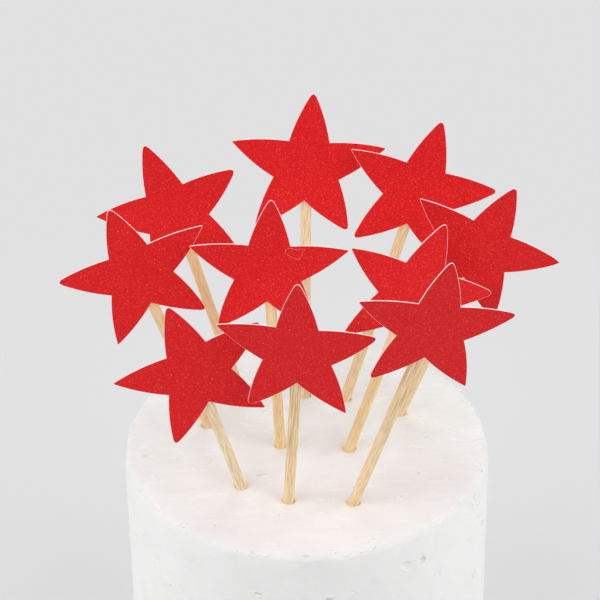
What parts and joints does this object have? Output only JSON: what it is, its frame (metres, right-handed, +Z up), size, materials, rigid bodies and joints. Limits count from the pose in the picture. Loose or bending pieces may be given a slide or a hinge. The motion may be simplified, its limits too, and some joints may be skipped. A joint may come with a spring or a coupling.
{
  "type": "cake topper",
  "caption": "Bouquet of red glitter star picks on bamboo sticks, standing in a white foam cake dummy; each pick pulls out along its stick.",
  "frame": {"origin": "centre of the foam dummy's flat underside", "axes": "+Z up along the dummy's axis, -Y towards the viewer the stars face, +X to that viewer's right"},
  "size_m": [0.1327, 0.1, 0.1877],
  "materials": {
    "foam": "matte",
    "bamboo": "satin",
    "card": "matte",
    "glitter": "satin",
    "glue": "satin"
  },
  "bodies": {
    "dummy": {"foam_dummy": "foam"},
    "back_middle_pick": {"back_middle_stick": "bamboo", "back_middle_star_card": "card", "back_middle_glitter_face": "glitter", "back_middle_glue_bead": "glue"},
    "back_right_pick": {"back_right_stick": "bamboo", "back_right_star_card": "card", "back_right_glitter_face": "glitter", "back_right_glue_bead": "glue"},
    "right_pick": {"right_stick": "bamboo", "right_star_card": "card", "right_glitter_face": "glitter", "right_glue_bead": "glue"},
    "front_right_pick": {"front_right_stick": "bamboo", "front_right_star_card": "card", "front_right_glitter_face": "glitter", "front_right_glue_bead": "glue"},
    "middle_right_pick": {"middle_right_stick": "bamboo", "middle_right_star_card": "card", "middle_right_glitter_face": "glitter", "middle_right_glue_bead": "glue"},
    "middle_pick": {"middle_stick": "bamboo", "middle_star_card": "card", "middle_glitter_face": "glitter", "middle_glue_bead": "glue"},
    "front_middle_pick": {"front_middle_stick": "bamboo", "front_middle_star_card": "card", "front_middle_glitter_face": "glitter", "front_middle_glue_bead": "glue"},
    "front_left_pick": {"front_left_stick": "bamboo", "front_left_star_card": "card", "front_left_glitter_face": "glitter", "front_left_glue_bead": "glue"},
    "left_pick": {"left_stick": "bamboo", "left_star_card": "card", "left_glitter_face": "glitter", "left_glue_bead": "glue"},
    "back_left_pick": {"back_left_stick": "bamboo", "back_left_star_card": "card", "back_left_glitter_face": "glitter", "back_left_glue_bead": "glue"}
  },
  "joints": [
    {"name": "back_middle_pull", "type": "slide", "parent": "dummy", "child": "back_middle_pick", "axis": [0.0171, 0.1993, 0.9798], "range_m": [0, 0.026]},
    {"name": "back_right_pull", "type": "slide", "parent": "dummy", "child": "back_right_pick", "axis": [0.3039, 0.1818, 0.9352], "range_m": [0, 0.029]},
    {"name": "right_pull", "type": "slide", "parent": "dummy", "child": "right_pick", "axis": [0.3583, 0.0163, 0.9335], "range_m": [0, 0.0362]},
    {"name": "front_right_pull", "type": "slide", "parent": "dummy", "child": "front_right_pick", "axis": [0.3171, -0.0331, 0.9478], "range_m": [0, 0.032]},
    {"name": "middle_right_pull", "type": "slide", "parent": "dummy", "child": "middle_right_pick", "axis": [0.3305, 0.1395, 0.9334], "range_m": [0, 0.0432]},
    {"name": "middle_pull", "type": "slide", "parent": "dummy", "child": "middle_pick", "axis": [-0.0435, 0.061, 0.9972], "range_m": [0, 0.0379]},
    {"name": "front_middle_pull", "type": "slide", "parent": "dummy", "child": "front_middle_pick", "axis": [0.061, 0, 0.9981], "range_m": [0, 0.0445]},
    {"name": "front_left_pull", "type": "slide", "parent": "dummy", "child": "front_left_pick", "axis": [-0.2917, 0.0667, 0.9542], "range_m": [0, 0.0558]},
    {"name": "left_pull", "type": "slide", "parent": "dummy", "child": "left_pick", "axis": [-0.3254, 0.033, 0.945], "range_m": [0, 0.0411]},
    {"name": "back_left_pull", "type": "slide", "parent": "dummy", "child": "back_left_pick", "axis": [-0.2931, 0.2232, 0.9297], "range_m": [0, 0.0358]}
  ]
}
